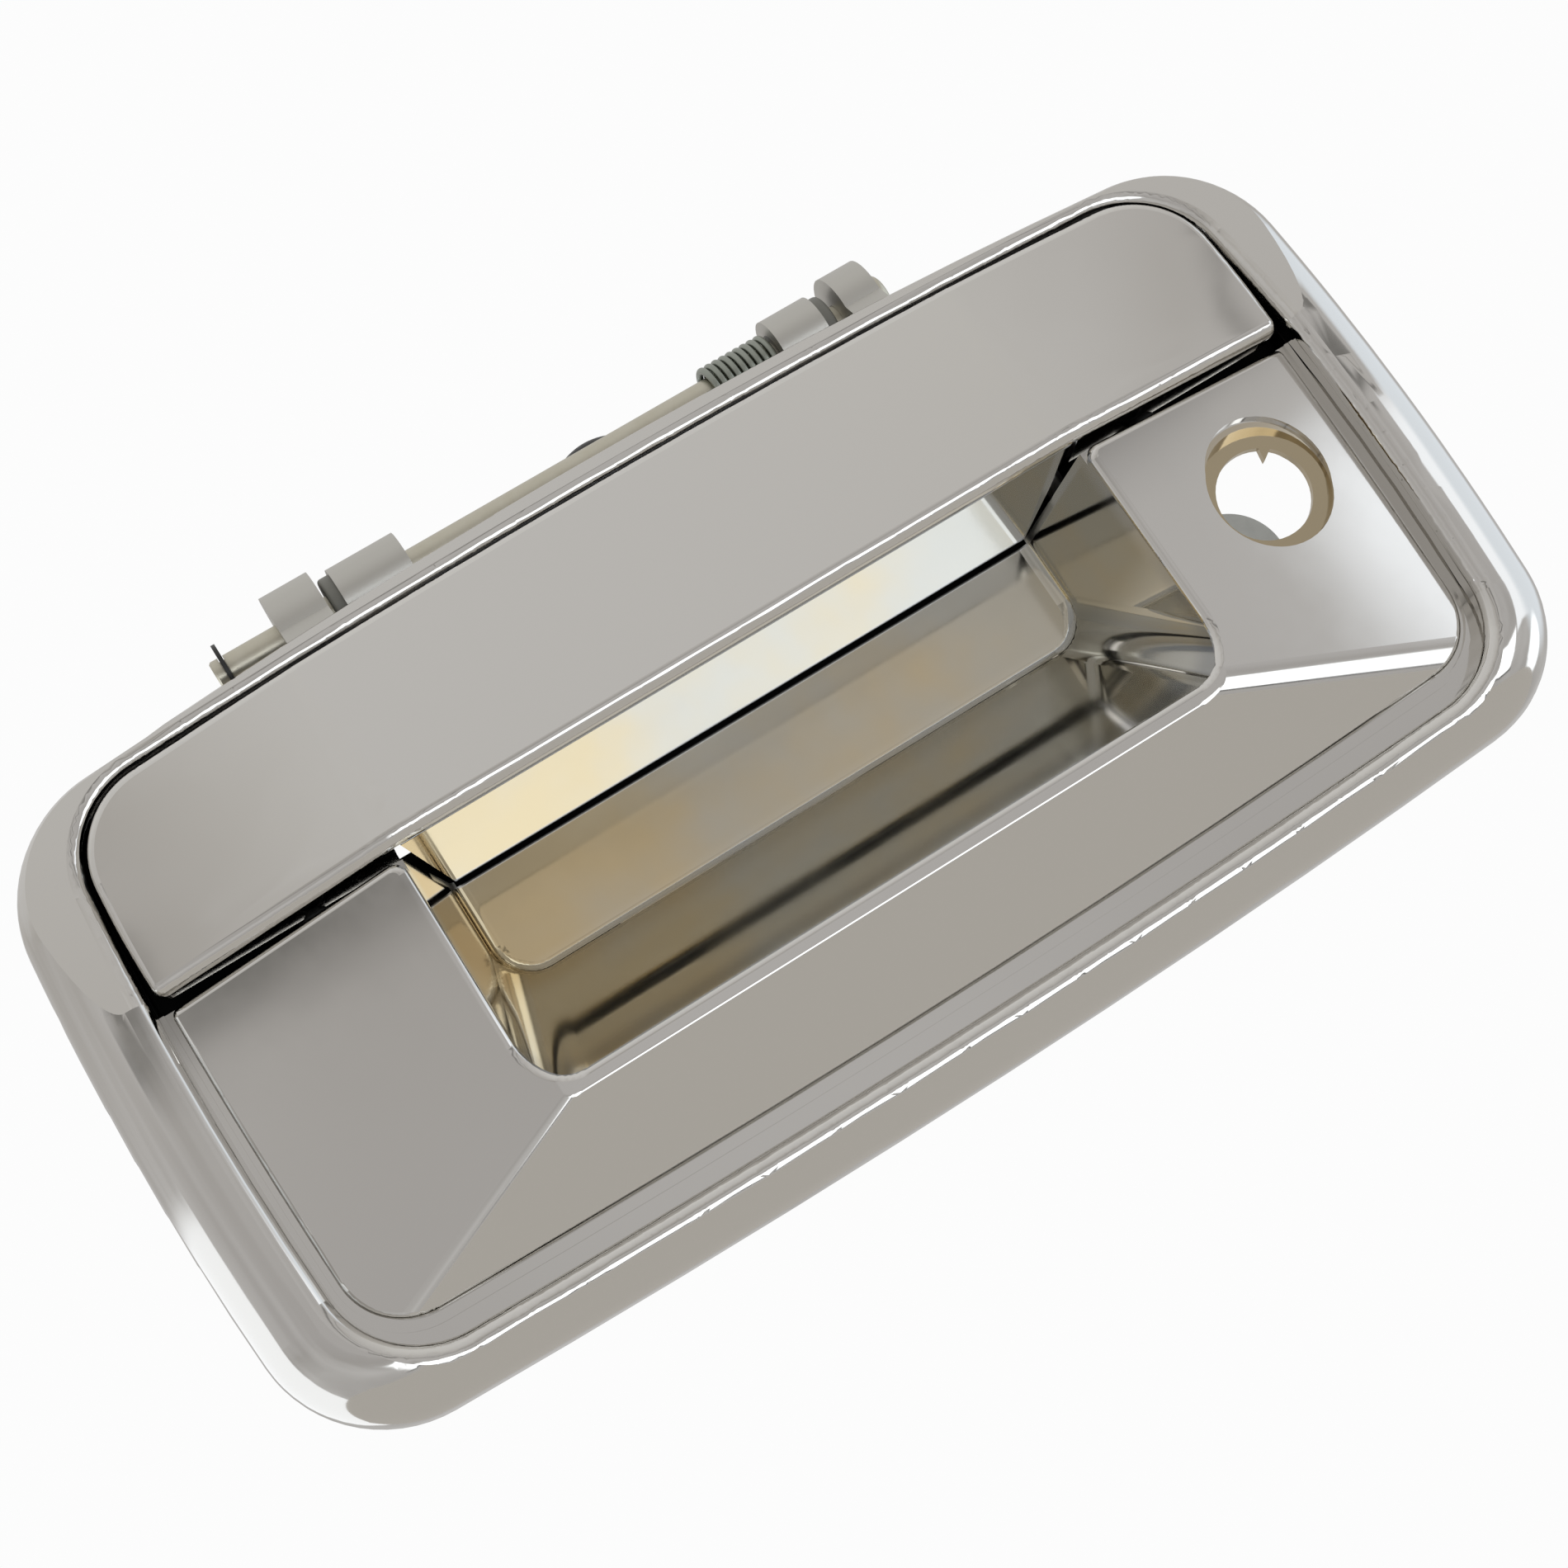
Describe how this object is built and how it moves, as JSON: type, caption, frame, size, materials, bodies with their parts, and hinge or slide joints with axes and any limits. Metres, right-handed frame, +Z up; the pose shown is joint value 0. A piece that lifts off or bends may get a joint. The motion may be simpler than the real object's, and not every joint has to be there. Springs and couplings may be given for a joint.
{
  "type": "car door handle",
  "caption": "Rounded-rectangle flush door handle with a top-hinged pull flap over a finger pocket, sloping lands and a round keyhole at one end.",
  "frame": {"origin": "midway between the two mounting studs, on the plane of the boss faces that seat against the door's reinforcement", "axes": "+X along the handle towards the keyhole end, +Y into the door, +Z up as installed"},
  "size_m": [0.1978, 0.0444, 0.1104],
  "materials": {
    "chrome_bezel": "bright decorative chrome plate on die-cast zinc",
    "chrome_flap": "bright decorative chrome plate on die-cast zinc",
    "zinc_pin": "yellow-passivated zinc-plated steel",
    "black_spring_steel": "black phosphated spring steel",
    "acetal_bush": "moulded acetal, satin",
    "zinc_wire": "zinc-plated spring wire",
    "rubber_stop": "moulded rubber, matt",
    "foam_seal": "closed-cell foam, matt",
    "zinc_steel": "clear zinc-plated steel",
    "zinc_sheet": "galvanised pressed steel sheet",
    "black_nylon": "moulded black nylon"
  },
  "bodies": {
    "bezel_body": {"bezel": "chrome_bezel", "hinge_pin": "zinc_pin", "hinge_e_clip": "black_spring_steel", "bumper_left": "rubber_stop", "bumper_right": "rubber_stop", "seal_gasket": "foam_seal", "mounting_studs": "zinc_steel", "lever_bracket": "zinc_sheet", "bracket_screws": "zinc_steel", "lever_pivot": "zinc_pin", "lever_washer": "acetal_bush", "cylinder_retainer": "zinc_sheet", "lever_spring": "zinc_wire", "flap_spring": "zinc_wire"},
    "flap_body": {"flap": "chrome_flap", "finger_plate": "chrome_flap", "hinge_bush_left": "acetal_bush", "hinge_bush_right": "acetal_bush"},
    "lever_body": {"release_lever": "zinc_sheet", "rod_clip": "black_nylon"}
  },
  "joints": [
    {"name": "flap_hinge", "type": "hinge", "parent": "bezel_body", "child": "flap_body", "pos_m": [0, 0.003, 0.026], "axis": [-1, 0, 0], "range_deg": [0, 30], "stiffness_Nm_per_rad": 0.25, "springref_deg": -34.38, "deforming": ["flap_spring"]},
    {"name": "lever_swing", "type": "hinge", "parent": "bezel_body", "child": "lever_body", "pos_m": [0.02, 0.012, 0.013], "axis": [0, 1, 0], "range_deg": [0, 17], "stiffness_Nm_per_rad": 0.02, "springref_deg": -28.65, "deforming": ["lever_spring"]}
  ],
  "couplings": [
    {"joint": "lever_swing", "follows": "flap_hinge", "ratio": 0.53}
  ]
}
